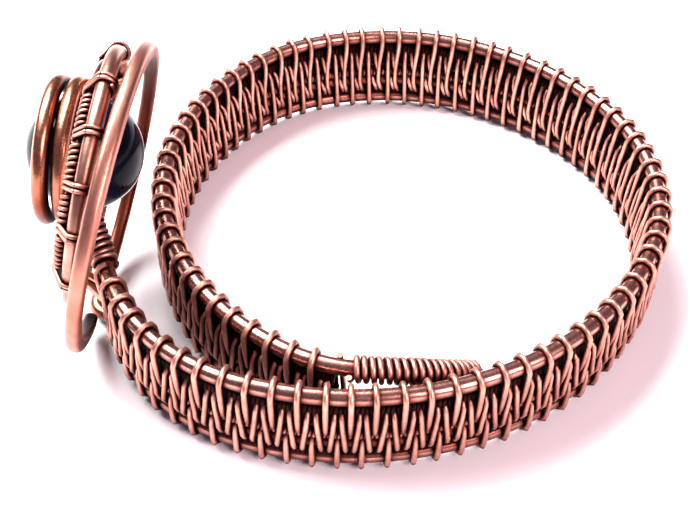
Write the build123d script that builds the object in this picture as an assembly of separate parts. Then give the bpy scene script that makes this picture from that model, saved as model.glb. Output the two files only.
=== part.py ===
from build123d import *
import os
from math import asin, cos, degrees, radians, sin, tan

# A ring of four stiff copper wires woven together, with a bead caged at its head.
# Millimetres and degrees. Z is up, Z = 0 is the surface that the ring lies on, and the Z axis
# runs through the middle of the finger opening. The head is on the -X side.

# The band
band_radius = 10.1       # mean radius of the stiff wires' centrelines, seen from above
band_height = 3.34       # top wire to bottom wire, centre to centre
base_wire = 0.59         # diameter of the top and bottom wires
frame_wire = 0.56        # diameter of the lower wire, which is also the frame's bare ring
core_wire = 0.28         # diameter of the upper wire, which is also the frame's wrapped ring
weave_wire = 0.215       # diameter of the fine wire that is woven and coiled
winding_wire = 0.15      # diameter of the finer wire that is wound on the frame
winding_gap = 0.02       # between a stiff wire and what is wound on it
stub = 0.45              # how far the lower three wires stand out of the weave at the tail
turn_room = 0.05         # between the band's two turns where they lie side by side
woven_share = 0.55       # how much of the bend that closes the band is woven
level_share = 0.7        # and how much of it the tail follows before it dips

# How the band bends, from the head to where it closes: degrees turned, and radius as a share
# of band_radius
BAND_BENDS = [
    (54.7, 0.79),
    (79, 1.27),
    (58, 0.91),
    (77, 1.06),
    (24, 0.72),
    (107, 1.05),
]
outer_bend = 1           # the bend that the tail comes to lie inside
BAND_END = (-1.041, -0.612)    # the head end of the weave, as shares of band_radius
band_end_heading = -66.5       # direction of the band there, towards the tail

# Heights of the wires above the bottom wire, as shares of band_height
WIRE_HEIGHT = {"bottom": 0.0, "lower": 0.29, "upper": 0.56, "top": 1.0}
WIRE_SIZE = {"bottom": base_wire, "lower": frame_wire, "upper": core_wire, "top": base_wire}

# The tail, which is the top wire alone, coiled over, lying along the inside of the band
tail_dip = 50            # degrees that its tip bends down
tail_dip_radius = 5.0
tail_dip_lean = 40       # the dip leans inwards by this angle
tail_tip = 0.4           # straight end of the tip
coil_break = 0.15        # bare wire between a coil and what is next to it on the wire

# The hoop, a flat ring
hoop_tilt = 14.0         # its top leans in over the band by this angle
hoop_over_frame = 1.0    # how much larger its radius is than the frame's
hoop_width = 0.62        # from its inside to its outside
hoop_thickness = 0.53    # along its axis
hoop_out = 1.25          # its lowest point, out from the end of the weave
hoop_along = 1.88        # and along the ring from it
hoop_opening = 15        # degrees left open at its bottom

# The frame, a bare ring and a wrapped ring bound together outside the hoop
frame_tilt = 13.2
frame_yaw = 3.7          # it turns towards the near side by this angle
frame_over_loops = 2.045  # how much larger the bare ring's radius is than the loops'
frame_opening = 26       # degrees left open at its bottom
frame_out = 0.57         # the bare ring's centre from the hoop's
frame_along = 0.12
frame_up = 0.86
pair_lean = -48          # direction of the wrapped ring from the bare one: 0 is straight out
pair_room = 0.01         # between the bare ring and the coil on the wrapped ring
binding_turns = 2        # strands in a binding

# Where the bindings are, in degrees round the frame from its lowest point up the far side
BINDING_ANGLES = [20, 50, 80, 110, 140, 185, 210, 233, 254, 280]
bare_after = 140         # the binding from which the frame is left bare, over its top

# The bead, and the two loops of the top wire round it
bead_diameter = 4.2
bead_room = 0.06         # between the bead and the loops
bead_out = 1.1           # from the centre of the hoop to the centre of the bead
bead_along = 0.95
bead_up = 1.3
loop_out = 0.11          # the loops start this far outside the bead's centre
loop_room = 0.09         # between the two loops
loop_yaw = 4
loop_opening = 26
pin_diameter = 0.4
pin_room = 0.05          # between the pin and the bead's bore, and at its ends

# The leads, where the wires fan out from the band to the head
lead_out = 0.55          # first corner of a lead, from the end of the weave
lead_in = 0.8            # last corner of a lead, before its ring
corner_share = 0.45      # how much of the runs beside it a corner takes up

UP = Vector(0, 0, 1)
origin = Vector(0, 0, 0)
base_r = base_wire / 2
core_r = core_wire / 2
wound_r = base_r + winding_gap + weave_wire
bottom_height = wound_r


def level(name):
    return bottom_height + band_height * WIRE_HEIGHT[name]


# A wire's centreline, made of straight runs and tangent arcs
class Route:
    def __init__(self, start, heading):
        self.at = Vector(start)
        self.heading = Vector(heading).normalized()
        self.edges = []

    def run(self, length):
        end = self.at + self.heading * length
        self.edges.append(Edge.make_line(self.at, end))
        self.at = end

    # Curves towards a direction that is square to the heading
    def bend(self, towards, radius, turn):
        towards = towards.normalized()
        turning = Axis(origin, self.heading.cross(towards))
        centre = self.at + towards * radius
        spoke = self.at - centre
        middle = centre + spoke.rotate(turning, turn / 2)
        end = centre + spoke.rotate(turning, turn)
        self.edges.append(Edge.make_three_point_arc(self.at, middle, end))
        self.heading = self.heading.rotate(turning, turn)
        self.at = end

    # Straight runs through rounded corners
    def follow(self, corners):
        points = [self.at] + corners
        used = 0
        for here, corner, beyond in zip(points, points[1:], points[2:]):
            arriving = (corner - here).normalized()
            leaving = (beyond - corner).normalized()
            turn = arriving.get_angle(leaving)
            cut = corner_share * min((corner - here).length, (beyond - corner).length)
            self.run((corner - here).length - used - cut)
            sideways = leaving - arriving * leaving.dot(arriving)
            self.bend(sideways, cut / tan(radians(turn / 2)), turn)
            used = cut
        self.run((points[-1] - points[-2]).length - used)


def left_of(heading):
    return UP.cross(heading)


# The band's centreline at one height, from its head end to where it starts to close
def open_route(height):
    start = Vector(BAND_END[0] * band_radius, BAND_END[1] * band_radius, height)
    angle = radians(band_end_heading)
    route = Route(start, (cos(angle), sin(angle), 0))
    for turn, share in BAND_BENDS:
        route.bend(left_of(route.heading), share * band_radius, turn)
    return route


# The closing bend runs up to the outer turn, at its side and clear of it
turn_pitch = 2 * wound_r + turn_room
flat = open_route(0)
outer = flat.edges[outer_bend]
reach = outer.radius - turn_pitch
spoke = flat.at - outer.arc_center
inwards = left_of(flat.heading)
closing_radius = (reach**2 - spoke.dot(spoke)) / (2 * (spoke.dot(inwards) + reach))
closing_centre = flat.at + inwards * closing_radius
closing_turn = (flat.at - closing_centre).get_angle(closing_centre - outer.arc_center)


# The same, up to the end of the weave
def band_route(height):
    route = open_route(height)
    route.bend(left_of(route.heading), closing_radius, closing_turn * woven_share)
    return route


# A lead from the head end of the weave to the lowest point of a ring, where it heads along
def lead_route(height, foot, along):
    start = Vector(BAND_END[0] * band_radius, BAND_END[1] * band_radius, height)
    angle = radians(band_end_heading + 180)
    route = Route(start, (cos(angle), sin(angle), 0))
    route.follow([start + route.heading * lead_out, foot - along * lead_in, foot])
    return route


def swept(edges, section_of):
    path = Wire(edges)
    return sweep(section_of(Plane(origin=path @ 0, z_dir=path % 0)), path=path)


def rod(diameter):
    return lambda plane: plane * Circle(diameter / 2)


# A coil of wire, as a tube round the wire that it is wound on
def coil(diameter, winding):
    inside = diameter / 2 + winding_gap
    return lambda plane: plane * (Circle(inside + winding) - Circle(inside))


# A ring of the head. Its axis points out over the -X side and up by the tilt, and its angles
# are counted from its lowest point up the far side.
class Ring:
    def __init__(self, centre, tilt, yaw, radius):
        turning = Axis(origin, UP)
        self.out = Vector(-cos(radians(tilt)), 0, sin(radians(tilt))).rotate(turning, yaw)
        self.up = Vector(sin(radians(tilt)), 0, cos(radians(tilt))).rotate(turning, yaw)
        self.along = Vector(0, 1, 0).rotate(turning, yaw)
        self.axis = Axis(origin, self.along.cross(self.up))
        self.centre = centre
        self.radius = radius
        self.foot = centre - self.up * radius

    def arc(self, start, end):
        spoke = (self.up * -self.radius).rotate(self.axis, start)
        route = Route(self.centre + spoke, self.along.rotate(self.axis, start))
        route.bend(self.up.rotate(self.axis, start), self.radius, end - start)
        return route.edges[0]

    # Whole but for the opening, which ends at the lowest point
    def arcs(self):
        return [self.arc(0, 180), self.arc(180, 360 - frame_opening)]


loop_radius = bead_diameter / 2 + bead_room + base_r
frame_radius = loop_radius + frame_over_loops
hoop_radius = frame_radius + hoop_over_frame
hoop_foot = Vector(
    BAND_END[0] * band_radius - hoop_out, BAND_END[1] * band_radius + hoop_along, level("bottom")
)
hoop_lean = Ring(hoop_foot, hoop_tilt, 0, hoop_radius)
hoop = Ring(hoop_foot + hoop_lean.up * hoop_radius, hoop_tilt, 0, hoop_radius)
frame_centre = hoop.centre + Vector(-frame_out, frame_along, frame_up)
bare_ring = Ring(frame_centre, frame_tilt, frame_yaw, frame_radius)
coil_r = core_r + winding_gap + winding_wire
pair_pitch = frame_wire / 2 + pair_room + coil_r
wrapped_ring = Ring(
    frame_centre + bare_ring.out * (pair_pitch * cos(radians(pair_lean))),
    frame_tilt,
    frame_yaw,
    frame_radius + pair_pitch * sin(radians(pair_lean)),
)

# Top wire: tail, band, and two loops round the bead
bead_centre = hoop.centre + Vector(-bead_out, bead_along, bead_up)
loop = Ring(bead_centre, 0, loop_yaw, loop_radius)
loop_start = loop.foot + loop.out * loop_out
loop_lean = degrees(asin((base_wire + loop_room) / (2 * loop_radius)))
loop_down = (UP * -1).rotate(Axis(origin, loop.along), loop_lean)

top_band = band_route(level("top"))
top_band.bend(left_of(top_band.heading), closing_radius, closing_turn * (level_share - woven_share))
tail_arc = top_band.edges[-1]
dipping = (UP * -1).rotate(Axis(origin, top_band.heading), tail_dip_lean)
top_band.bend(dipping, tail_dip_radius, tail_dip)
tail_dip_arc = top_band.edges[-1]
top_band.run(tail_tip)
top_lead = lead_route(level("top"), loop_start, loop.along)
lead_edges = list(top_lead.edges)
top_lead.bend(UP, loop_radius, 180)
top_lead.bend(loop_down, loop_radius, 180)
top_lead.bend(UP, loop_radius, 180)
top_lead.bend(loop_down, loop_radius, 180 - loop_opening)
top_wire = swept(top_lead.edges[::-1] + top_band.edges, rod(base_wire))


# The lower three wires end in a stub at the tail and in a ring at the head
def band_wire(name, ring_edges, foot, along):
    band = band_route(level(name))
    band.run(stub)
    lead = lead_route(level(name), foot, along)
    return swept(ring_edges[::-1] + lead.edges[::-1] + band.edges, rod(WIRE_SIZE[name]))


upper_wire = band_wire("upper", wrapped_ring.arcs(), wrapped_ring.foot, wrapped_ring.along)
lower_wire = band_wire("lower", bare_ring.arcs(), bare_ring.foot, bare_ring.along)


# The bottom wire is hammered flat where it is the hoop
hoop_plane = Plane(origin=hoop.foot, x_dir=hoop.up, z_dir=hoop.along)
hoop_section = hoop_plane * SlotOverall(hoop_width, hoop_thickness)
flat_hoop = revolve(hoop_section, Axis(hoop.centre, hoop.axis.direction), 360 - hoop_opening)
bottom_wire = band_wire("bottom", [], hoop.foot, hoop.along) + flat_hoop

# The weave: one sleeve with a channel for each stiff wire
weave_section = Rotation(0, 0, 90) * SlotCenterToCenter(band_height, 2 * wound_r)
for name, height in WIRE_HEIGHT.items():
    channel = Circle(WIRE_SIZE[name] / 2 + winding_gap)
    weave_section -= Pos(0, band_height * height - band_height / 2) * channel
band_weave = None
for edge in band_route(bottom_height + band_height / 2).edges:
    heading = edge % 0
    plane = Plane(origin=edge @ 0, x_dir=left_of(heading), z_dir=heading)
    turn = degrees(edge.length / edge.radius)
    piece = revolve(plane * weave_section, Axis(edge.arc_center, UP), turn)
    band_weave = piece if band_weave is None else band_weave + piece

# Coils
band_coil = coil(base_wire, weave_wire)
tail_coil = swept([tail_arc.trim(coil_break / tail_arc.length, 1), tail_dip_arc], band_coil)
lead_coil = swept(lead_edges[1:-2], band_coil)

frame_coil = []
half_binding = degrees((binding_turns * winding_wire / 2 + coil_break) / wrapped_ring.radius)
for before, after in zip([0] + BINDING_ANGLES, BINDING_ANGLES):
    if before != bare_after:
        stretch = wrapped_ring.arc(before + half_binding, after - half_binding)
        frame_coil += swept([stretch], coil(core_wire, winding_wire)).solids()


# The outline of a band drawn tight round the frame's two wires
def tight_round(apart, room):
    bare = Pos(-apart / 2, 0) * Circle(frame_wire / 2 + room)
    core = Pos(apart / 2, 0) * Circle(core_r + room)
    return make_hull(bare.edges() + core.edges())


def binding(angle):
    heading = bare_ring.along.rotate(bare_ring.axis, angle)
    down = (bare_ring.up * -1).rotate(bare_ring.axis, angle)
    bare_at = bare_ring.centre + down * bare_ring.radius
    across = wrapped_ring.centre + down * wrapped_ring.radius - bare_at
    plane = Plane(origin=bare_at + across / 2, x_dir=across, z_dir=heading)
    apart = across.length
    section = tight_round(apart, winding_gap + winding_wire) - tight_round(apart, winding_gap)
    return extrude(plane * section, binding_turns * winding_wire / 2, both=True)


# The bead, drilled along the ring, on its pin
bore_plane = Plane(origin=bead_centre, z_dir=loop.along)
bore = extrude(bore_plane * Circle(pin_diameter / 2 + pin_room), bead_diameter, both=True)
bead = Pos(*bead_centre) * Sphere(bead_diameter / 2) - bore
bead_pin = extrude(bore_plane * Circle(pin_diameter / 2), loop_radius - base_r - pin_room, both=True)

nodes = {
    "top_wire": top_wire,
    "upper_wire": upper_wire,
    "lower_wire": lower_wire,
    "bottom_wire": bottom_wire,
    "band_weave": band_weave,
    "tail_coil": tail_coil,
    "lead_coil": lead_coil,
    "frame_coil": Compound(children=frame_coil),
    "bead": bead,
    "bead_pin": bead_pin,
}
for number, angle in enumerate(BINDING_ANGLES, start=1):
    nodes[f"frame_binding_{number}"] = binding(angle)

os.makedirs("parts", exist_ok=True)
for name, shape in nodes.items():
    export_step(shape, f"parts/{name}.step")
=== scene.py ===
import math
from functools import partial

import bpy
import numpy as np
from mathutils import Matrix, Vector


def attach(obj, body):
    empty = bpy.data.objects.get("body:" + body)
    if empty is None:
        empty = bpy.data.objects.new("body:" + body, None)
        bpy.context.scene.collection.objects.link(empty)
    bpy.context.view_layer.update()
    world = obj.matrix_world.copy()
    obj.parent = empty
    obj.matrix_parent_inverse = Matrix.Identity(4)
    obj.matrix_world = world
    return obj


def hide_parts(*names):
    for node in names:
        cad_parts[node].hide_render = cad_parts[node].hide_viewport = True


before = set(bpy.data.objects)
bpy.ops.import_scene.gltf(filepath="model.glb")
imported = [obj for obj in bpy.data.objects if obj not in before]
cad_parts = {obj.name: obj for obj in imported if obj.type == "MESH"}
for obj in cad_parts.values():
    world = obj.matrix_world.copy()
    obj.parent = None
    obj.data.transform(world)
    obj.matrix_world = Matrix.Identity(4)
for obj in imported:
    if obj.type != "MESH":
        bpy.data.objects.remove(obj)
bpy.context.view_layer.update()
print("frame loaded")

# Sizes are in millimetres, and become metres when a mesh, a tree or a material gets them
mm = 0.001
up = np.array([0.0, 0.0, 1.0])
pathStep = 0.06  # between the points of a centreline


def linearColour(hexCode):
    channels = [int(hexCode[i:i + 2], 16) / 255 for i in (1, 3, 5)]
    straight = [c / 12.92 if c <= 0.04045 else ((c + 0.055) / 1.055) ** 2.4 for c in channels]
    return (*straight, 1.0)


# An input is a value, another node's output, or a node, which stands for its first output
def setInputs(node, inputs):
    for key, value in inputs.items() if isinstance(inputs, dict) else enumerate(inputs):
        if isinstance(value, bpy.types.Node):
            value = value.outputs[0]
        if isinstance(value, bpy.types.NodeSocket):
            node.id_data.links.new(value, node.inputs[key])
        else:
            node.inputs[key].default_value = value


# Adds one node, its inputs listed in their order or by name
def addNode(tree, kind, inputs=(), **settings):
    node = tree.nodes.new(kind)
    for name, value in settings.items():
        setattr(node, name, value)
    setInputs(node, inputs)
    return node


def addObject(name, data):
    thing = bpy.data.objects.new(name, data)
    bpy.context.scene.collection.objects.link(thing)
    return thing


def unit(vector):
    return vector / np.linalg.norm(vector)


def turned(vector, axis, degrees):
    return np.array(Matrix.Rotation(math.radians(degrees), 3, Vector(axis)) @ Vector(vector))


# A wire's centreline as points, from straight runs and arcs
class Trace:
    def __init__(self, start, heading):
        self.points = [np.array(start, float)]
        self.heading = unit(np.array(heading, float))
        self.arcs = []

    def run(self, length):
        count = max(1, round(length / pathStep))
        start = self.points[-1]
        self.points += [start + self.heading * length * i / count for i in range(1, count + 1)]

    def bend(self, towards, radius, degrees):
        towards = unit(towards)
        axis = np.cross(self.heading, towards)
        centre = self.points[-1] + towards * radius
        self.arcs.append((centre, radius))
        spoke = self.points[-1] - centre
        count = max(2, round(math.radians(degrees) * radius / pathStep))
        for i in range(1, count + 1):
            self.points.append(centre + turned(spoke, axis, degrees * i / count))
        self.heading = turned(self.heading, axis, degrees)

    # Rounds each corner over cornerShare of the shorter run beside it
    def follow(self, corners, cornerShare):
        stops = [self.points[-1]] + corners
        used = 0
        for here, corner, beyond in zip(stops, stops[1:], stops[2:]):
            before, after = corner - here, beyond - corner
            arriving, leaving = unit(before), unit(after)
            turn = math.degrees(math.acos(float(np.dot(arriving, leaving))))
            cut = cornerShare * min(np.linalg.norm(before), np.linalg.norm(after))
            self.run(np.linalg.norm(before) - used - cut)
            sideways = leaving - arriving * np.dot(leaving, arriving)
            self.bend(sideways, cut / math.tan(math.radians(turn / 2)), turn)
            used = cut
        self.run(np.linalg.norm(stops[-1] - stops[-2]) - used)


# The band, seen from above: each bend is degrees turned and radius as a share of the
# band's, from head to tail
band = {
    "radius": 10.1,
    "bends": [(54.7, 0.79), (79, 1.27), (58, 0.91), (77, 1.06), (24, 0.72), (107, 1.05)],
    "outerBend": 1,  # the tail comes to lie inside this one
    "turnRoom": 0.05,
    "wovenShare": 0.55,
    "headEnd": (-1.041, -0.612),
    "headEndHeading": -66.5,
    "height": 3.34,
    "levels": {"bottom": 0.0, "lower": 0.29, "upper": 0.56, "top": 1.0},
    "stiffWire": 0.59,
    "frameWire": 0.56,
    "coreWire": 0.28,
    "fineWire": 0.215,
    "finerWire": 0.15,
    "gap": 0.02,
    "stub": 0.45,
    "leadOut": 0.55,
    "leadInto": 0.8,
    "leadCorner": 0.45,
}
stiffRadius = band["stiffWire"] / 2
coreRadius = band["coreWire"] / 2
floorGap = stiffRadius + band["gap"] + band["fineWire"]
bandStart = np.array(band["headEnd"]) * band["radius"]


def leftOf(heading):
    return np.cross(up, heading)


def levelOf(name):
    return floorGap + band["height"] * band["levels"][name]


def openTrace(height):
    angle = math.radians(band["headEndHeading"])
    trace = Trace((*bandStart, height), (math.cos(angle), math.sin(angle), 0))
    for degrees, share in band["bends"]:
        trace.bend(leftOf(trace.heading), share * band["radius"], degrees)
    return trace


# The bend that closes the band, until it lies beside the outer turn
def closingBend():
    trace = openTrace(0.0)
    middle, radius = trace.arcs[band["outerBend"]]
    reach = radius - 2 * floorGap - band["turnRoom"]
    spoke, inwards = trace.points[-1] - middle, leftOf(trace.heading)
    closing = (reach ** 2 - spoke @ spoke) / (2 * (spoke @ inwards + reach))
    centre = trace.points[-1] + inwards * closing
    cosine = unit(trace.points[-1] - centre) @ unit(centre - middle)
    return closing, math.degrees(math.acos(cosine))


closingRadius, closingTurn = closingBend()


def bandTrace(height):
    trace = openTrace(height)
    trace.bend(leftOf(trace.heading), closingRadius, closingTurn * band["wovenShare"])
    return trace


# A wire's way from the band's start to its foot in the head
def leadTrace(height, foot, along):
    angle = math.radians(band["headEndHeading"] + 180)
    heading = np.array([math.cos(angle), math.sin(angle), 0])
    start = np.array([*bandStart, height])
    trace = Trace(start, heading)
    corners = [start + heading * band["leadOut"], foot - along * band["leadInto"], foot]
    trace.follow(corners, band["leadCorner"])
    return trace


# A ring of the head: angles are counted from its lowest point up the far side
class HeadRing:
    def __init__(self, centre, tilt, yaw, radius):
        lean = math.radians(tilt)
        self.out = turned((-math.cos(lean), 0, math.sin(lean)), up, yaw)
        self.up = turned((math.sin(lean), 0, math.cos(lean)), up, yaw)
        self.along = turned((0, 1, 0), up, yaw)
        self.centre = np.array(centre, float)
        self.radius = radius
        self.foot = self.centre - self.up * radius

    def at(self, degrees):
        a = math.radians(degrees)
        return self.centre + (self.along * math.sin(a) - self.up * math.cos(a)) * self.radius

    def heading(self, degrees):
        a = math.radians(degrees)
        return self.along * math.cos(a) + self.up * math.sin(a)

    def points(self, start, end):
        count = max(2, round(math.radians(end - start) * self.radius / pathStep))
        return [self.at(start + (end - start) * i / count) for i in range(count + 1)]


head = {
    "hoopTilt": 14.0,
    "hoopRadius": 5.5,
    "hoopOut": 1.25,
    "hoopAlong": 1.88,
    "hoopOpening": 15,
    "frameTilt": 13.2,
    "frameYaw": 3.7,
    "frameRadius": 4.5,
    "frameOffset": (-0.57, 0.12, 0.86),
    "frameOpening": 26,
    "pairLean": -48,
    "pairRoom": 0.01,
    "beadDiameter": 4.2,
    "beadRoom": 0.06,
    "beadOffset": (-1.1, 0.95, 1.3),
    "loopOut": 0.11,
    "loopRoom": 0.09,
    "loopYaw": 4,
    "loopOpening": 26,
    "bindings": [20, 50, 80, 110, 140, 185, 210, 233, 254, 280],
    "bareAfter": 140,  # over its top the frame has no winding
}
hoopFoot = np.array([
    bandStart[0] - head["hoopOut"], bandStart[1] + head["hoopAlong"], levelOf("bottom")])
hoopUp = HeadRing(hoopFoot, head["hoopTilt"], 0, 1).up
hoop = HeadRing(hoopFoot + hoopUp * head["hoopRadius"], head["hoopTilt"], 0, head["hoopRadius"])
frameCentre = hoop.centre + np.array(head["frameOffset"])
bareRing = HeadRing(frameCentre, head["frameTilt"], head["frameYaw"], head["frameRadius"])
pairPitch = (band["frameWire"] / 2 + head["pairRoom"] + coreRadius + band["gap"]
             + band["finerWire"])
pairLean = math.radians(head["pairLean"])
wrappedRing = HeadRing(
    frameCentre + bareRing.out * pairPitch * math.cos(pairLean), head["frameTilt"],
    head["frameYaw"], head["frameRadius"] + pairPitch * math.sin(pairLean))
beadCentre = hoop.centre + np.array(head["beadOffset"])
loopRadius = head["beadDiameter"] / 2 + head["beadRoom"] + stiffRadius
loop = HeadRing(beadCentre, 0, head["loopYaw"], loopRadius)


def newMaterial(name):
    material = bpy.data.materials.new(name)
    material.use_nodes = True
    tree = material.node_tree
    return material, partial(addNode, tree), tree.nodes["Principled BSDF"]


def setColours(ramp, stops):
    elements = ramp.color_ramp.elements
    while len(elements) < len(stops):
        elements.new(0.5)
    for element, (position, hexCode) in zip(elements, stops):
        element.position = position
        element.color = linearColour(hexCode)


# What the coppers have in common. The polish runs from 0 in a hollow to 1 on a high place, and
# faces that point down are lowered by a painted shade.
copper = {
    "hollowSamples": 8,
    "stainDetail": 4.0,
    "grainDetail": 3.0,
    "noiseRoughness": 0.6,
    "facingDown": -0.5,  # a normal's height, where the painted underside shade is whole
    "facingUp": 0.5,
    "roughFrom": 0.2,  # the polish where the roughness starts to fall
    "roughTo": 0.9,
    "bumpDepth": 0.01,
    "bandSide": -9.5,  # across the ring, the head's tint comes in between these two
    "headSide": -10.8,
}
# The hoop's free end and its inside are darkened by a painted shade, and its brush marks run
# along it. Lengths are its UV map's: from the free end, and round the wire.
satin = {
    "tuckedWhole": 2.0,
    "tuckedEnd": 4.5,
    "tuckedShadeDepth": -0.5,
    "insideMiddle": 0.45,
    "insideWhole": 0.25,
    "insideEnd": 0.45,
    "insideShadeDepth": -0.45,
    "brushStretch": (1.2, 14.0, 1.0),
    "brushScale": 2.0,
    "brushDetail": 4.0,
    "brushRoughness": 0.7,
}


# The polish with a painted shade on the hoop's free end and inside, and the height of the satin
# hoop
def satinFinish(add, polishAndShade, grain, scratches):
    lengthwise = add("ShaderNodeUVMap", uv_map="alongWire")
    onWire = add("ShaderNodeSeparateXYZ", [lengthwise]).outputs
    tuckedShade = add("ShaderNodeMapRange", {
        "Value": onWire["X"], "From Min": satin["tuckedWhole"], "From Max": satin["tuckedEnd"],
        "To Min": satin["tuckedShadeDepth"], "To Max": 0.0})
    offMiddle = add("ShaderNodeMath", [onWire["Y"], satin["insideMiddle"]], operation="SUBTRACT")
    fromMiddle = add("ShaderNodeMath", [offMiddle], operation="ABSOLUTE")
    insideShade = add("ShaderNodeMapRange", {
        "Value": fromMiddle, "From Min": satin["insideWhole"], "From Max": satin["insideEnd"],
        "To Min": satin["insideShadeDepth"], "To Max": 0.0})
    # the painted shade of the free end and of the inside, added to the polish
    paintedHoopShade = add("ShaderNodeMath", [tuckedShade, insideShade], operation="ADD")
    shadedTone = add("ShaderNodeMath", [polishAndShade, paintedHoopShade], operation="ADD")
    drawnOut = add("ShaderNodeMapping", {"Vector": lengthwise, "Scale": satin["brushStretch"]})
    brushed = add("ShaderNodeTexNoise", {
        "Vector": drawnOut, "Scale": satin["brushScale"], "Detail": satin["brushDetail"],
        "Roughness": satin["brushRoughness"]})
    height = add("ShaderNodeMath", [brushed, scratches, grain], operation="MULTIPLY_ADD")
    return shadedTone, height


# Copper that was darkened and then polished: hollows keep the brown, high places shine, and
# faces that point down get a painted shade
def antiquedCopper(name, values):
    material, add, shader = newMaterial(name)
    coordinates = add("ShaderNodeTexCoord").outputs
    place = coordinates["Object"]
    hollow = add("ShaderNodeAmbientOcclusion", {"Distance": values["hollowDepth"] * mm},
                 samples=copper["hollowSamples"])
    stain = add("ShaderNodeTexNoise", {
        "Vector": place, "Scale": 1 / (values["stainSize"] * mm),
        "Detail": copper["stainDetail"], "Roughness": copper["noiseRoughness"]})
    grain = add("ShaderNodeTexNoise", {
        "Vector": place, "Scale": 1 / (values["grainSize"] * mm),
        "Detail": copper["grainDetail"], "Roughness": copper["noiseRoughness"]})
    strength = values["stainStrength"]
    shifted = add("ShaderNodeMath", [stain, strength, -strength / 2], operation="MULTIPLY_ADD")
    # painted shade: the polish is lowered on faces that point down, by how far down they point
    facing = add("ShaderNodeSeparateXYZ", [coordinates["Normal"]]).outputs["Z"]
    paintedUnderShade = add("ShaderNodeMapRange", {
        "Value": facing, "From Min": copper["facingDown"], "From Max": copper["facingUp"],
        "To Min": -values["undersideShade"], "To Max": 0.0})
    reached = add("ShaderNodeMath", [hollow.outputs["AO"], shifted], operation="ADD")
    polishAndShade = add("ShaderNodeMath", [reached, paintedUnderShade], operation="ADD")
    shadedTone, height = polishAndShade, grain
    if "scratches" in values:
        shadedTone, height = satinFinish(add, polishAndShade, grain, values["scratches"])
    ramp = add("ShaderNodeValToRGB", [shadedTone])
    setColours(ramp, values["colours"])
    colour = ramp.outputs["Color"]
    if "headTint" in values:
        across = add("ShaderNodeSeparateXYZ", [place]).outputs["X"]
        atHead = add("ShaderNodeMapRange", {
            "Value": across, "From Min": copper["bandSide"] * mm,
            "From Max": copper["headSide"] * mm})
        # sockets 6 and 7 are the two colours, and output 2 is the mixed one
        mixed = add("ShaderNodeMix", {0: atHead, 6: colour, 7: linearColour(values["headTint"])},
                    data_type="RGBA", blend_type="MULTIPLY")
        colour = mixed.outputs[2]
    rough = add("ShaderNodeMapRange", {
        "Value": polishAndShade, "From Min": copper["roughFrom"], "From Max": copper["roughTo"],
        "To Min": values["roughHollow"], "To Max": values["roughHigh"]})
    worn = add("ShaderNodeMath", [grain, values["roughSpread"], rough],
               operation="MULTIPLY_ADD", use_clamp=True)
    bump = add("ShaderNodeBump", {
        "Strength": values["bump"], "Distance": copper["bumpDepth"] * mm, "Height": height})
    setInputs(shader, {"Base Color": colour, "Metallic": 1.0, "Roughness": worn, "Normal": bump})
    return material


# Drawn copper wire of 0.2 mm, darkened in liver of sulphur and polished back on the outside
wovenWire = antiquedCopper("antiqued drawn copper, fine", {
    "hollowDepth": 0.5, "stainSize": 1.1, "stainStrength": 0.5, "grainSize": 0.08,
    "undersideShade": 0.15,
    "colours": [(0.0, "#120405"), (0.42, "#401716"), (0.7, "#96554c"), (0.97, "#dfa794")],
    "roughHollow": 0.6, "roughHigh": 0.34, "roughSpread": 0.2, "bump": 0.7,
})
# The same wire nearly black: heavy patina, and a painted shade for the deep gaps between the
# stiff wires that it fills
patinaAndShadeWire = antiquedCopper("oxidised copper and painted shade", {
    "hollowDepth": 0.4, "stainSize": 0.8, "stainStrength": 0.5, "grainSize": 0.1,
    "undersideShade": 0.1,
    "colours": [(0.0, "#080303"), (0.4, "#120606"), (0.7, "#210e0e"), (0.95, "#3a1b19")],
    "roughHollow": 0.75, "roughHigh": 0.55, "roughSpread": 0.1, "bump": 0.3,
})
# Stiff drawn copper, darker and browner, with bright streaks where cloth has rubbed it, and a
# strong painted shade on its underside
bandWire = antiquedCopper("antiqued drawn copper, stiff", {
    "hollowDepth": 0.5, "stainSize": 1.6, "stainStrength": 0.45, "grainSize": 0.15,
    "undersideShade": 0.45, "headTint": "#fbe0c2",
    "colours": [(0.0, "#120506"), (0.42, "#3a1715"), (0.7, "#85493f"), (0.97, "#d39c8d")],
    "roughHollow": 0.5, "roughHigh": 0.2, "roughSpread": 0.12, "bump": 0.35,
})
# The frame's bare ring, the same drawn copper polished brighter
frameWire = antiquedCopper("polished drawn copper", {
    "hollowDepth": 0.4, "stainSize": 1.2, "stainStrength": 0.5, "grainSize": 0.12,
    "undersideShade": 0.3,
    "colours": [(0.0, "#220b09"), (0.42, "#5d2b20"), (0.7, "#99594a"), (0.98, "#cd9481")],
    "roughHollow": 0.45, "roughHigh": 0.27, "roughSpread": 0.14, "bump": 0.6,
})
# Copper hammered flat and sanded to a satin, little stained, with a painted shade on its free
# end and inside
hoopWire = antiquedCopper("satin hammered copper", {
    "hollowDepth": 0.8, "stainSize": 1.2, "stainStrength": 0.3, "grainSize": 0.1,
    "undersideShade": 0.3, "scratches": 0.6,
    "colours": [(0.0, "#1d0908"), (0.38, "#5a2920"), (0.68, "#985644"), (0.95, "#c68573")],
    "roughHollow": 0.62, "roughHigh": 0.3, "roughSpread": 0.15, "bump": 0.5,
})

# Opaque lampwork glass, navy, fire polished: smooth, with a faint cloud in its colour
glass = {
    "cloudSize": 2.5,
    "cloudDetail": 3.0,
    "colours": [(0.35, "#05070f"), (0.7, "#0e1526")],
    "roughness": 0.08,
    "ior": 1.36,
    "specular": 0.1,
}


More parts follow.
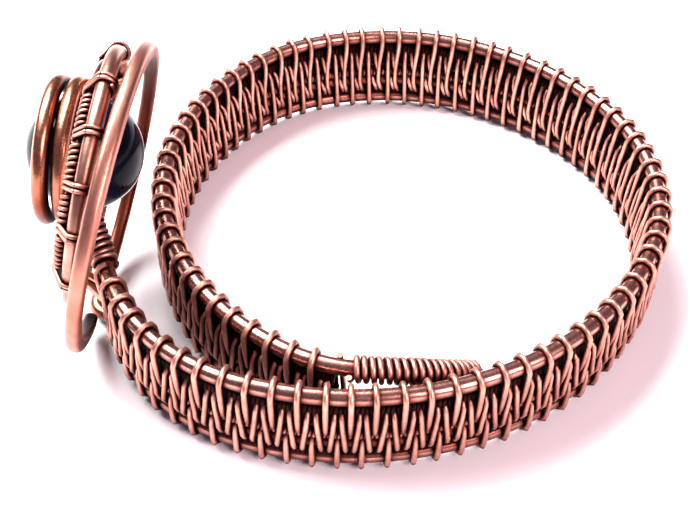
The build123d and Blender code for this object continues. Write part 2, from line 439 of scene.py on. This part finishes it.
def navyGlass():
    material, add, shader = newMaterial("navy lampwork glass")
    cloud = add("ShaderNodeTexNoise", {
        "Vector": add("ShaderNodeTexCoord").outputs["Object"],
        "Scale": 1 / (glass["cloudSize"] * mm), "Detail": glass["cloudDetail"]})
    ramp = add("ShaderNodeValToRGB", [cloud])
    setColours(ramp, glass["colours"])
    setInputs(shader, {
        "Base Color": ramp, "Roughness": glass["roughness"], "IOR": glass["ior"],
        "Specular IOR Level": glass["specular"]})
    return material


beadGlass = navyGlass()
print("materials made")


def addPiece(name, mesh, nodes):
    piece = addObject(name, mesh)
    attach(piece, "root")
    if nodes:
        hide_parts(*nodes)
    print(name, len(mesh.polygons), "faces")


def polyline(name, lines):
    mesh = bpy.data.meshes.new(name)
    vertices, edges = [], []
    for line in lines:
        first = len(vertices)
        vertices += [tuple(np.asarray(p) * mm) for p in line]
        edges += [(first + i, first + i + 1) for i in range(len(line) - 1)]
    mesh.from_pydata(vertices, edges, [])
    return addObject(name, mesh)


# Runs a node tree on a path and keeps the result as a plain mesh
def growPiece(name, helper, tree, inputs, nodes):
    modifier = helper.modifiers.new("grow", "NODES")
    modifier.node_group = tree
    sockets = {item.name: item.identifier
               for item in tree.interface.items_tree if item.in_out == "INPUT"}
    for key, value in inputs.items():
        modifier[sockets[key]] = value
    evaluated = helper.evaluated_get(bpy.context.evaluated_depsgraph_get())
    mesh = bpy.data.meshes.new_from_object(evaluated)
    mesh.name = name
    bpy.data.objects.remove(helper)
    addPiece(name, mesh, nodes)


# A tree that takes lines and the named inputs, each with its kind of socket
def newTree(name, inputs):
    tree = bpy.data.node_groups.new(name, "GeometryNodeTree")
    for label, kind in {"Geometry": "Geometry", **inputs}.items():
        tree.interface.new_socket(label, in_out="INPUT", socket_type="NodeSocket" + kind)
    tree.interface.new_socket("Geometry", in_out="OUTPUT", socket_type="NodeSocketGeometry")
    add = partial(addNode, tree)
    given = add("NodeGroupInput").outputs
    curve = add("GeometryNodeMeshToCurve", {"Mesh": given["Geometry"]})
    return tree, add, given, curve


# The last nodes of every tree: a round tube along the curves, closed at both ends
def finishTube(add, given, curve, diameter, scale=1.0):
    radius = add("ShaderNodeMath", [diameter, 0.5], operation="MULTIPLY")
    outline = add("GeometryNodeCurvePrimitiveCircle", {
        "Resolution": given["Sides"], "Radius": radius})
    tube = add("GeometryNodeCurveToMesh", {
        "Curve": curve, "Profile Curve": outline, "Scale": scale, "Fill Caps": True})
    smooth = add("GeometryNodeSetShadeSmooth", {"Geometry": tube})
    real = add("GeometryNodeRealizeInstances", {"Geometry": smooth})
    painted = add("GeometryNodeSetMaterial", {"Geometry": real, "Material": given["Material"]})
    add("NodeGroupOutput", {"Geometry": painted})


# Noise between -0.5 and 0.5 along a count, of so many waves for each one of it
def wander(add, count, rate, seed):
    place = add("ShaderNodeCombineXYZ", {
        "X": add("ShaderNodeMath", [count, rate], operation="MULTIPLY"), "Y": seed})
    noise = add("ShaderNodeTexNoise", {"Vector": place, "Scale": 1.0, "Detail": 1.0},
                noise_dimensions="2D")
    return add("ShaderNodeMath", [noise, 0.5], operation="SUBTRACT")


# The stiff wires: bent by hand, so their line wavers a little, and rounded at their ends
stiff = {
    "sides": 20,
    "waver": 0.05,
    "waverScale": 350.0,  # for each metre
    "endShare": 0.45,
    "endRings": 9,
    "endRoom": (0.05, 0.02),
    "endFullness": 1.01,
}


def makeWireTree():
    tree, add, given, curve = newTree("stiff wire", {
        "Diameter": "Float", "Sides": "Int", "Waver": "Float", "End rounding": "Float",
        "Seed": "Float", "Material": "Material"})
    seedVector = add("ShaderNodeCombineXYZ", {"X": given["Seed"]})
    shifted = add("ShaderNodeVectorMath", [add("GeometryNodeInputPosition"), seedVector],
                  operation="ADD")
    noise = add("ShaderNodeTexNoise", {
        "Vector": shifted, "Scale": stiff["waverScale"], "Detail": 1.0})
    centred = add("ShaderNodeVectorMath", [noise.outputs["Color"], (-0.5, -0.5, -0.5)],
                  operation="ADD")
    offset = add("ShaderNodeVectorMath", {0: centred, "Scale": given["Waver"]},
                 operation="SCALE")
    moved = add("GeometryNodeSetPosition", {"Geometry": curve, "Offset": offset})
    along = add("GeometryNodeSplineParameter").outputs["Length"]
    toEnd = add("ShaderNodeMath", [add("GeometryNodeSplineLength"), along], operation="SUBTRACT")
    fromEnd = add("ShaderNodeMath", [along, toEnd], operation="MINIMUM")
    share = add("ShaderNodeMath", [fromEnd, given["End rounding"]],
                operation="DIVIDE", use_clamp=True)
    rest = add("ShaderNodeMath", [1.0, share], operation="SUBTRACT")
    squared = add("ShaderNodeMath", [rest, rest], operation="MULTIPLY")
    bulge = add("ShaderNodeMath", [stiff["endFullness"], squared], operation="SUBTRACT")
    scale = add("ShaderNodeMath", [bulge], operation="SQRT")
    finishTube(add, given, moved, given["Diameter"], scale)
    return tree


wireTree = makeWireTree()


# The same line with points closer together at its ends, where the wire is rounded off
def withFineEnds(line, endReach):
    line = np.array(line)
    lengths = np.concatenate([[0], np.cumsum(np.linalg.norm(np.diff(line, axis=0), axis=1))])
    ends = endReach * (1 - np.cos(np.linspace(0, math.pi / 2, stiff["endRings"])))
    firstRoom, lastRoom = stiff["endRoom"]
    middle = np.arange(endReach + firstRoom, lengths[-1] - endReach - lastRoom, pathStep)
    stops = np.concatenate([ends, middle, lengths[-1] - ends[::-1]])
    return np.stack([np.interp(stops, lengths, line[:, i]) for i in range(3)], axis=1)


def stiffWire(name, line, diameter, seed, nodes, material):
    endReach = diameter * stiff["endShare"]
    growPiece(name, polyline(name + "Path", [withFineEnds(line, endReach)]), wireTree, {
        "Diameter": diameter * mm, "Sides": stiff["sides"], "Waver": stiff["waver"] * mm,
        "End rounding": endReach * mm, "Seed": seed, "Material": material},
        nodes)


# The top wire: at its tail it dips and leans in, and in the head it makes two loops
topWire = {
    "levelShare": 0.7,
    "tailDip": 50,
    "tailDipRadius": 5.0,
    "tailDipLean": 40,
    "tailTip": 0.4,
}
loopStart = loop.foot + loop.out * head["loopOut"]
loopLean = math.degrees(math.asin((band["stiffWire"] + head["loopRoom"]) / (2 * loopRadius)))
loopDown = turned(-up, loop.along, loopLean)

topBand = bandTrace(levelOf("top"))
weaveEnd = len(topBand.points)
topBand.bend(leftOf(topBand.heading), closingRadius,
             closingTurn * (topWire["levelShare"] - band["wovenShare"]))
topBand.bend(turned(-up, topBand.heading, topWire["tailDipLean"]), topWire["tailDipRadius"],
             topWire["tailDip"])
tailEnd = len(topBand.points)
topBand.run(topWire["tailTip"])
topLead = leadTrace(levelOf("top"), loopStart, loop.along)
leadEnd = len(topLead.points)
for towards, degrees in [(up, 180), (loopDown, 180), (up, 180),
                         (loopDown, 180 - head["loopOpening"])]:
    topLead.bend(towards, loopRadius, degrees)
stiffWire("topWire", topLead.points[::-1] + topBand.points[1:], band["stiffWire"], 1.0,
          ["top_wire"], bandWire)


def frameLine(level, ring):
    line = bandTrace(levelOf(level))
    line.run(band["stub"])
    lead = leadTrace(levelOf(level), ring.foot, ring.along)
    ringPoints = ring.points(0, 360 - head["frameOpening"])
    return ringPoints[:0:-1] + lead.points[::-1] + line.points[1:]


stiffWire("lowerWire", frameLine("lower", bareRing), band["frameWire"], 2.0,
          ["lower_wire"], frameWire)
stiffWire("upperWire", frameLine("upper", wrappedRing), band["coreWire"], 3.0,
          ["upper_wire"], bandWire)
print("stiff wires made")


# The hoop: the bottom wire, hammered flat past its lead. What is counted is in rings.
hoopPiece = {
    "alongAxis": 0.53,
    "across": 0.62,
    "corner": 0.2,
    "girth": 1.8,
    "sides": 28,
    "flare": 12,
    "satinLead": 4,
    "endRings": 5,
    "endFullness": 1.02,
    "dents": 0.02,
    "dentSpan": 16,
    "spareDents": 30,
    "seed": 4,
}


# Points of a rounded rectangle, the same number for every width and thickness
def flattened(width, thickness, corner, count):
    corner = min(corner, width / 2, thickness / 2)
    outline = []
    for i in range(count):
        a = math.tau * (i + 0.5) / count
        x, y = math.cos(a), math.sin(a)
        outline.append((math.copysign(width / 2 - corner, x) + corner * x,
                        math.copysign(thickness / 2 - corner, y) + corner * y))
    return outline


# A closed tube from rings of points, with its faces outwards and its ends capped. Its UV map
# runs back from its last ring and round it, in millimetres.
def tubeMesh(name, rings, girth):
    sides = len(rings[0])
    vertices = [tuple(np.asarray(p) * mm) for ring in rings for p in ring]
    faces = []
    for i in range(len(rings) - 1):
        for j in range(sides):
            k = (j + 1) % sides
            faces.append((i * sides + j, i * sides + k,
                          (i + 1) * sides + k, (i + 1) * sides + j))
    faces.append(tuple(range(sides))[::-1])
    faces.append(tuple(range((len(rings) - 1) * sides, len(rings) * sides)))
    mesh = bpy.data.meshes.new(name)
    mesh.from_pydata(vertices, [], faces)
    mesh.polygons.foreach_set("use_smooth", [True] * len(mesh.polygons))
    middles = np.array([np.mean(ring, axis=0) for ring in rings])
    steps = np.linalg.norm(np.diff(middles, axis=0), axis=1)
    travelled = np.concatenate([np.cumsum(steps[::-1])[::-1], [0]])
    layer = mesh.uv_layers.new(name="alongWire")
    for face in mesh.polygons:
        corners = [mesh.loops[i].vertex_index % sides for i in face.loop_indices]
        wraps = len(corners) == 4 and max(corners) - min(corners) > 1
        for i, corner in zip(face.loop_indices, corners):
            ring = mesh.loops[i].vertex_index // sides
            around = sides if wraps and corner == 0 else corner
            layer.data[i].uv = (travelled[ring], around * girth / sides)
    mesh.update()
    return mesh


def bottomWireMesh():
    chance = np.random.default_rng(hoopPiece["seed"])
    line = bandTrace(levelOf("bottom"))
    line.run(band["stub"])
    lead = leadTrace(levelOf("bottom"), hoop.foot, hoop.along)
    points = line.points[::-1] + lead.points[1:]
    joint = len(points)
    points += hoop.points(0, 360 - head["hoopOpening"])[1:]
    points = np.array(points)
    tangents = np.gradient(points, axis=0)
    draws = chance.normal(size=(len(points) + hoopPiece["spareDents"]))
    dents = np.convolve(draws, np.hanning(hoopPiece["dentSpan"]), "valid")[:len(points)]
    dents = dents / np.abs(dents).max() * hoopPiece["dents"]
    # the first side is carried back from the hoop, where it faces out
    sides = [hoop.out]
    for tangent in tangents[joint - 1::-1]:
        sides.append(unit(sides[-1] - unit(tangent) * np.dot(sides[-1], unit(tangent))))
    sides = sides[:0:-1] + [hoop.out] * (len(points) - joint)
    rings = []
    for i, (point, tangent, side) in enumerate(zip(points, tangents, sides)):
        tangent = unit(tangent)
        flat = min(1, max(0, (i - joint + hoopPiece["flare"] / 2) / hoopPiece["flare"]))
        flat = flat * flat * (3 - 2 * flat)
        side = unit(side - tangent * np.dot(side, tangent))
        other = np.cross(tangent, side)
        unworked = band["stiffWire"]
        width = unworked + (hoopPiece["alongAxis"] - unworked + dents[i]) * flat
        thickness = unworked + (hoopPiece["across"] - unworked - dents[i] / 2) * flat
        corner = stiffRadius + (hoopPiece["corner"] - stiffRadius) * flat
        near = min(len(points) - 1 - i, i, hoopPiece["endRings"]) / hoopPiece["endRings"]
        pinch = math.sqrt(hoopPiece["endFullness"] - (1 - near) ** 2)
        rings.append([point + (side * x + other * y) * pinch
                      for x, y in flattened(width, thickness, corner, hoopPiece["sides"])])
    mesh = tubeMesh("bottomWire", rings, hoopPiece["girth"])
    for material in (bandWire, hoopWire):
        mesh.materials.append(material)
    for face in mesh.polygons:
        if min(face.vertices) // hoopPiece["sides"] >= joint - hoopPiece["satinLead"]:
            face.material_index = 1
    return mesh


addPiece("bottomWire", bottomWireMesh(), ["bottom_wire"])
print("hoop made")


# The running weave: one fine wire that repeats a template along the band. What is counted is
# in periods, and each wander has its rate for a period and its seed.
weave = {
    "period": 0.86,
    "steps": 72,
    "sides": 8,
    "smoothing": 8,
    "endSpare": 0.3,
    "unevenness": 0.3,
    "unevenRate": 0.62,
    "seed": 5.0,
    "looseness": 0.03,
    "looseRate": 5.3,
    "depthSeed": 3.1,
    "heightSeed": 9.4,
    "innerRoom": 0.01,
}


def makeWeaveTree():
    tree, add, given, path = newTree("running weave", {
        "Template": "Object", "Periods": "Int", "Period": "Float", "Steps": "Int",
        "Wire diameter": "Float", "Sides": "Int", "Unevenness": "Float", "Looseness": "Float",
        "Seed": "Float", "Material": "Material"})
    info = add("GeometryNodeObjectInfo", {"Object": given["Template"]})
    shape = add("GeometryNodeMeshToCurve", {"Mesh": info.outputs["Geometry"]})
    count = add("ShaderNodeMath", [given["Periods"], given["Steps"]], operation="MULTIPLY")
    # only its number of points counts, because each is moved to its place
    line = add("GeometryNodeMeshLine", {"Count": count, "Offset": (0.0, 0.0, 0.01 * mm)})
    strand = add("GeometryNodeMeshToCurve", {"Mesh": line})
    progress = add("ShaderNodeMath", [add("GeometryNodeInputIndex"), given["Steps"]],
                   operation="DIVIDE")
    periodNumber = add("ShaderNodeMath", [progress], operation="FLOOR")
    within = add("ShaderNodeMath", [progress], operation="FRACT")
    spot = add("GeometryNodeSampleCurve", {"Curves": shape, "Factor": within}, mode="FACTOR")
    local = add("ShaderNodeSeparateXYZ", [spot.outputs["Position"]]).outputs
    # the template's X is in periods, so it is taken back from metres
    travelled = add("ShaderNodeMath", [local["X"], 1 / mm, periodNumber],
                    operation="MULTIPLY_ADD")
    slip = wander(add, travelled, weave["unevenRate"], given["Seed"])
    uneven = add("ShaderNodeMath", [slip, given["Unevenness"], travelled],
                 operation="MULTIPLY_ADD")
    distance = add("ShaderNodeMath", [uneven, given["Period"]], operation="MULTIPLY")
    onPath = add("GeometryNodeSampleCurve", {"Curves": path, "Length": distance},
                 mode="LENGTH").outputs
    outward = add("ShaderNodeVectorMath", [onPath["Tangent"], tuple(up)],
                  operation="CROSS_PRODUCT")
    depthSlip = wander(add, progress, weave["looseRate"], weave["depthSeed"])
    depth = add("ShaderNodeMath", [depthSlip, given["Looseness"], local["Y"]],
                operation="MULTIPLY_ADD")
    heightSlip = wander(add, progress, weave["looseRate"], weave["heightSeed"])
    height = add("ShaderNodeMath", [heightSlip, given["Looseness"], local["Z"]],
                 operation="MULTIPLY_ADD")
    aside = add("ShaderNodeVectorMath", {0: outward, "Scale": depth}, operation="SCALE")
    level = add("ShaderNodeVectorMath", [onPath["Position"], aside], operation="ADD")
    place = add("ShaderNodeVectorMath", [level, add("ShaderNodeCombineXYZ", {"Z": height})],
                operation="ADD")
    moved = add("GeometryNodeSetPosition", {"Geometry": strand, "Position": place})
    finishTube(add, given, moved, given["Wire diameter"])
    return tree


weaveTree = makeWeaveTree()


# A smooth line through points, as Catmull-Rom pieces
def throughPoints(points, perPiece):
    points = [np.array(p, float) for p in points]
    ends = [2 * points[0] - points[1], *points, 2 * points[-1] - points[-2]]
    line = []
    for a, b, c, d in zip(ends, ends[1:], ends[2:], ends[3:]):
        for i in range(perPiece):
            t = i / perPiece
            line.append(0.5 * (2 * b + (c - a) * t + (2 * a - 5 * b + 4 * c - d) * t * t
                               + (3 * b - a - 3 * c + d) * t ** 3))
    line.append(points[-1])
    return line


clear = stiffRadius + band["fineWire"] / 2 + weave["innerRoom"]
high, upper, lower = (band["height"] * band["levels"][n] for n in ("top", "upper", "lower"))
# One period: share of the period along, depth (outwards is plus), height over the bottom wire
weaveTemplate = [
    (0.000, 0.0, high + clear), (0.000, clear * 0.8, high + clear * 0.62), (0.0, clear, high),
    (0.000, 0.40, high * 0.78), (0.000, 0.33, upper), (0.000, 0.24, 1.56), (0.010, 0.0, 1.42),
    (0.050, -0.28, 1.44), (0.170, -0.34, upper - 0.05), (0.290, -0.30, 2.40),
    (0.340, 0.0, 2.62), (0.338, 0.27, 2.50), (0.290, 0.36, upper), (0.225, 0.38, 1.40),
    (0.175, 0.41, 0.94), (0.150, 0.12, 0.50), (0.160, -0.20, 0.50), (0.250, -0.41, 0.85),
    (0.400, -0.36, 1.20), (0.490, 0.0, 1.42), (0.500, 0.34, 1.20), (0.500, 0.40, 0.80),
    (0.500, clear, 0.10), (0.500, clear * 0.75, -clear * 0.66), (0.500, 0.0, -clear),
    (0.510, -clear * 0.75, -clear * 0.66), (0.530, -clear, 0.10), (0.570, -0.41, 0.90),
    (0.610, -0.38, 1.70), (0.640, -0.28, 2.44), (0.655, 0.0, 2.66), (0.662, 0.27, 2.52),
    (0.710, 0.36, upper), (0.775, 0.38, 1.40), (0.825, 0.41, 0.94), (0.855, 0.12, 0.50),
    (0.880, -0.20, 0.50), (1.000, -0.40, 0.75), (1.120, -0.42, 1.15), (1.110, -0.39, 2.00),
    (1.000, -clear, 3.00), (0.985, -clear * 0.8, high + clear * 0.55),
    (1.000, 0.0, high + clear),
]


def makeWeave(name, templatePoints, steps, material, seed, nodes):
    template = polyline(name + "Template", [throughPoints(templatePoints, weave["smoothing"])])
    path = bandTrace(levelOf("bottom")).points
    length = sum(np.linalg.norm(b - a) for a, b in zip(path, path[1:]))
    periods = int(length / weave["period"]) - 1
    period = length / (periods + weave["endSpare"])
    growPiece(name, polyline(name + "Path", [path]), weaveTree, {
        "Template": template, "Periods": periods, "Period": period * mm, "Steps": steps,
        "Wire diameter": band["fineWire"] * mm, "Sides": weave["sides"],
        "Unevenness": weave["unevenness"], "Looseness": weave["looseness"] * mm,
        "Seed": seed, "Material": material}, nodes)
    bpy.data.objects.remove(template)


makeWeave("bandWeave", weaveTemplate, weave["steps"], wovenWire, weave["seed"], ["band_weave"])

# The crossings between the stiff wires: a flat coil in each gap, its turns counted for a period
filling = {
    "turns": 5,
    "pointsPerTurn": 8,
    "stepsPerTurn": 16,
    "squareness": 1.4,
    "room": 0.02,
    "outerDepth": 0.12,
    "depth": 0.25,
    "seed": 31.0,
}


def crossings(lowest, highest, depth):
    middle, half = (lowest + highest) / 2, (highest - lowest) / 2
    count = filling["pointsPerTurn"] * filling["turns"]
    points = []
    for i in range(count + 1):
        a = math.tau * i / filling["pointsPerTurn"]
        level = max(-1, min(1, filling["squareness"] * math.sin(a)))
        points.append((i / count, depth * math.cos(a), middle + half * level))
    return points


fineGap = band["fineWire"] / 2 + filling["room"]
# the upper and lower crossings are drawn nearly black, as patina and as a painted shade for the
# deep gaps
fills = [
    ("upperCrossings", upper + coreRadius, high - stiffRadius, filling["outerDepth"], patinaAndShadeWire),
    ("middleCrossings", lower + band["frameWire"] / 2, upper - coreRadius, filling["depth"],
     wovenWire),
    ("lowerCrossings", stiffRadius, lower - band["frameWire"] / 2, filling["depth"], patinaAndShadeWire),
]
for number, (name, lowest, highest, depth, material) in enumerate(fills):
    template = crossings(lowest + fineGap, highest - fineGap, depth)
    makeWeave(name, template, filling["stepsPerTurn"] * filling["turns"], material,
              filling["seed"] + number, [])
print("weave made")


# The coils of fine wire round a stiff one, their turns pushed together by hand. Each wander
# has its rate for a turn.
coils = {
    "breakLength": 0.15,
    "pitch": 0.265,
    "unevenness": 0.5,
    "steps": 16,
    "framePitch": 0.205,
    "frameUnevenness": 0.6,
    "frameSteps": 14,
    "sides": 8,
    "slipRate": 0.45,
    "looseness": 0.03,
    "looseRate": 1.3,
    "looseSeed": 7.7,
    "leadEnds": (6, 12),  # points of the lead that stay bare
}


def makeCoilTree():
    tree, add, given, curve = newTree("coil", {
        "Core diameter": "Float", "Wire diameter": "Float", "Pitch": "Float", "Steps": "Int",
        "Sides": "Int", "Unevenness": "Float", "Seed": "Float", "Material": "Material"})
    stepLength = add("ShaderNodeMath", [given["Pitch"], given["Steps"]], operation="DIVIDE")
    dense = add("GeometryNodeResampleCurve", {"Curve": curve, "Length": stepLength},
                mode="LENGTH")
    along = add("GeometryNodeSplineParameter").outputs["Length"]
    turns = add("ShaderNodeMath", [along, given["Pitch"]], operation="DIVIDE")
    slip = wander(add, turns, coils["slipRate"], given["Seed"])
    slipped = add("ShaderNodeMath", [slip, given["Unevenness"], turns],
                  operation="MULTIPLY_ADD")
    angle = add("ShaderNodeMath", [slipped, math.tau], operation="MULTIPLY")
    spun = add("ShaderNodeVectorRotate", {
        "Vector": add("GeometryNodeInputNormal"), "Axis": add("GeometryNodeInputTangent"),
        "Angle": angle}, rotation_type="AXIS_ANGLE")
    both = add("ShaderNodeMath", [given["Core diameter"], given["Wire diameter"]],
               operation="ADD")
    reach = add("ShaderNodeMath", [both, 0.5], operation="MULTIPLY")
    slack = wander(add, turns, coils["looseRate"], coils["looseSeed"])
    loose = add("ShaderNodeMath", [slack, coils["looseness"] * mm, reach],
                operation="MULTIPLY_ADD")
    offset = add("ShaderNodeVectorMath", {0: spun, "Scale": loose}, operation="SCALE")
    moved = add("GeometryNodeSetPosition", {"Geometry": dense, "Offset": offset})
    finishTube(add, given, moved, given["Wire diameter"])
    return tree


coilTree = makeCoilTree()


def coil(name, lines, core, wire, pitch, unevenness, steps, seed, nodes):
    growPiece(name, polyline(name + "Path", lines), coilTree, {
        "Core diameter": core * mm, "Wire diameter": wire * mm, "Pitch": pitch * mm,
        "Steps": steps, "Sides": coils["sides"], "Unevenness": unevenness, "Seed": seed,
        "Material": wovenWire}, nodes)


tailStart = weaveEnd - 1 + round(coils["breakLength"] / pathStep)
bareFirst, bareLast = coils["leadEnds"]
for name, line, seed, node in [
        ("tailCoil", topBand.points[tailStart:tailEnd], 11.0, "tail_coil"),
        ("leadCoil", topLead.points[bareFirst:leadEnd - bareLast], 12.0, "lead_coil")]:
    coil(name, [line], band["stiffWire"], band["fineWire"], coils["pitch"],
         coils["unevenness"], coils["steps"], seed, [node])

# The bindings: fine wire round both of the frame's wires, crossing over at a slant
bindings = {
    "turns": 2.35,
    "steps": 28,
    "smoothing": 3,
    "sides": 9,
    "room": 0.01,
    "pitchShare": 1.25,
    "crossOver": 0.05,
    "slant": (0.8, 1.3),
    "chanceSeed": 21,
    "halfShare": 0.3,
    "waver": 0.02,
    "endRounding": 0.05,
    "seed": 8.0,
}
halfLength = band["finerWire"] + coils["breakLength"] * bindings["halfShare"]
halfBinding = math.degrees(halfLength / wrappedRing.radius)
stretches = []
for before, after in zip([0] + head["bindings"], head["bindings"]):
    if before != head["bareAfter"]:
        stretches.append(wrappedRing.points(before + halfBinding, after - halfBinding))
coil("frameCoil", stretches, band["coreWire"], band["finerWire"], coils["framePitch"],
     coils["frameUnevenness"], coils["frameSteps"], 13.0, ["frame_coil"])


def bindingLine(degrees, chance):
    bareAt, wrappedAt = bareRing.at(degrees), wrappedRing.at(degrees)
    across = unit(wrappedAt - bareAt)
    heading = bareRing.heading(degrees)
    side = np.cross(heading, across)
    room = band["finerWire"] / 2 + bindings["room"]
    bareReach, coreReach = band["frameWire"] / 2 + room, coreRadius + room
    turns, steps = bindings["turns"], bindings["steps"]
    pitch = band["finerWire"] * bindings["pitchShare"]
    line = []
    start = chance.uniform(0, 1)
    slant = chance.uniform(*bindings["slant"])
    for i in range(int(turns * steps) + 1):
        t = i / steps
        a = math.tau * (t + start)
        # a slot shape: each end is a part of a circle round its own wire
        reach = bareReach if math.cos(a) < 0 else coreReach
        centre = bareAt if math.cos(a) < 0 else wrappedAt
        point = centre + across * math.cos(a) * reach + side * math.sin(a) * reach
        drift = (t - turns / 2) * pitch + math.sin(a) * bindings["crossOver"] * slant
        line.append(point + heading * drift)
    return throughPoints(line, bindings["smoothing"])


def makeBindings():
    chance = np.random.default_rng(bindings["chanceSeed"])
    lines = [bindingLine(degrees, chance) for degrees in head["bindings"]]
    nodes = [f"frame_binding_{i}" for i in range(1, len(lines) + 1)]
    growPiece("frameBindings", polyline("bindingPath", lines), wireTree, {
        "Diameter": band["finerWire"] * mm, "Sides": bindings["sides"],
        "Waver": bindings["waver"] * mm, "End rounding": bindings["endRounding"] * mm,
        "Seed": bindings["seed"], "Material": wovenWire}, nodes)


makeBindings()
print("coils and bindings made")


beadPiece = {
    "rings": 48,
    "segments": 72,
    "bore": 0.25,
    "boreShare": 0.8,
    "boreInset": 0.1,
    "boreRings": 6,
}


def beadMesh():
    radius = head["beadDiameter"] / 2
    bore, inset = beadPiece["bore"], beadPiece["boreInset"]
    edge = math.asin(bore / radius)
    profile = []
    for i in range(beadPiece["rings"] + 1):
        a = edge + (math.pi - 2 * edge) * i / beadPiece["rings"]
        profile.append((radius * math.sin(a), -radius * math.cos(a)))
    heights = np.linspace(profile[-1][1] - inset, profile[0][1] + inset, beadPiece["boreRings"])
    profile += [(bore * beadPiece["boreShare"], h) for h in heights]
    across, axis = loop.out, loop.along
    side = np.cross(axis, across)
    segments = beadPiece["segments"]
    vertices, faces = [], []
    for r, h in profile:
        for j in range(segments):
            a = math.tau * j / segments
            spoke = (across * math.cos(a) + side * math.sin(a)) * r
            vertices.append(tuple((beadCentre + axis * h + spoke) * mm))
    rows = len(profile)
    for i in range(rows):
        below = (i + 1) % rows
        for j in range(segments):
            k = (j + 1) % segments
            faces.append((i * segments + j, i * segments + k,
                          below * segments + k, below * segments + j))
    mesh = bpy.data.meshes.new("bead")
    mesh.from_pydata(vertices, [], faces)
    mesh.polygons.foreach_set("use_smooth", [True] * len(mesh.polygons))
    mesh.materials.append(beadGlass)
    mesh.update()
    return mesh


addPiece("glassBead", beadMesh(), ["bead"])
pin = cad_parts["bead_pin"]
pin.data.materials.clear()
pin.data.materials.append(bandWire)
print("bead made")


# The floor, the lights and the backdrop, in metres and watts
stage = {
    "floorSize": 0.6,
    "floorColour": "#fbf8fa",
    "floorRoughness": 0.9,
    "backdrop": "#dfc6e6",
    "backdropStrength": 0.2,
}
lights = {
    "windowLight": {"place": (-0.062, 0.038, 0.11), "size": (0.1, 0.08), "power": 0.62,
                    "colour": "#ffffff"},
    "frontCard": {"place": (0.075, -0.075, 0.08), "size": (0.06, 0.06), "power": 0.2,
                  "colour": "#f6dcdf"},
}


def makeFloor():
    half = stage["floorSize"] / 2
    mesh = bpy.data.meshes.new("floor")
    corners = [(-half, -half, 0), (half, -half, 0), (half, half, 0), (-half, half, 0)]
    mesh.from_pydata(corners, [], [(0, 1, 2, 3)])
    material, _, shader = newMaterial("white paper sweep")
    setInputs(shader, {"Base Color": linearColour(stage["floorColour"]),
                       "Roughness": stage["floorRoughness"]})
    mesh.materials.append(material)
    floor = addObject("floor", mesh)


# A rectangular light that faces the ring
def softLight(name, place, size, power, colour):
    data = bpy.data.lights.new(name, "AREA")
    data.shape = "RECTANGLE"
    data.size, data.size_y = size
    data.energy = power
    data.color = linearColour(colour)[:3]
    light = addObject(name, data)
    light.location = place
    light.rotation_euler = (-Vector(place)).to_track_quat("-Z", "Y").to_euler()


makeFloor()
for name, values in lights.items():
    softLight(name, **values)

world = bpy.data.worlds.new("studio")
bpy.context.scene.world = world
world.use_nodes = True
setInputs(world.node_tree.nodes["Background"], {
    "Color": linearColour(stage["backdrop"]), "Strength": stage["backdropStrength"]})

# The photograph's camera: 45 mm from the ring's middle, looking 46 degrees down
shot = {
    "place": (0.0, -32.01, 32.02),
    "down": 45.72,
    "pan": -3.56,
    "roll": 1.55,
    "lens": 54.0,
    "sensor": 36.0,
    "clip": (0.002, 5.0),
}


def makeCamera():
    down, pan, roll = (math.radians(shot[k]) for k in ("down", "pan", "roll"))
    forward = np.array([
        math.sin(pan) * math.cos(down), math.cos(pan) * math.cos(down), -math.sin(down)])
    right = np.array([math.cos(pan), -math.sin(pan), 0])
    above = np.cross(right, forward)
    sideways = right * math.cos(roll) + above * math.sin(roll)
    upwards = above * math.cos(roll) - right * math.sin(roll)
    data = bpy.data.cameras.new("camera")
    data.lens = shot["lens"]
    data.sensor_width = shot["sensor"]
    data.clip_start, data.clip_end = shot["clip"]
    camera = addObject("camera", data)
    turn = Matrix((sideways, upwards, -forward)).transposed()
    camera.matrix_world = Matrix.Translation(Vector(shot["place"]) * mm) @ turn.to_4x4()
    bpy.context.scene.camera = camera


makeCamera()
bpy.context.scene.view_settings.view_transform = "Standard"
print("stage and camera made")
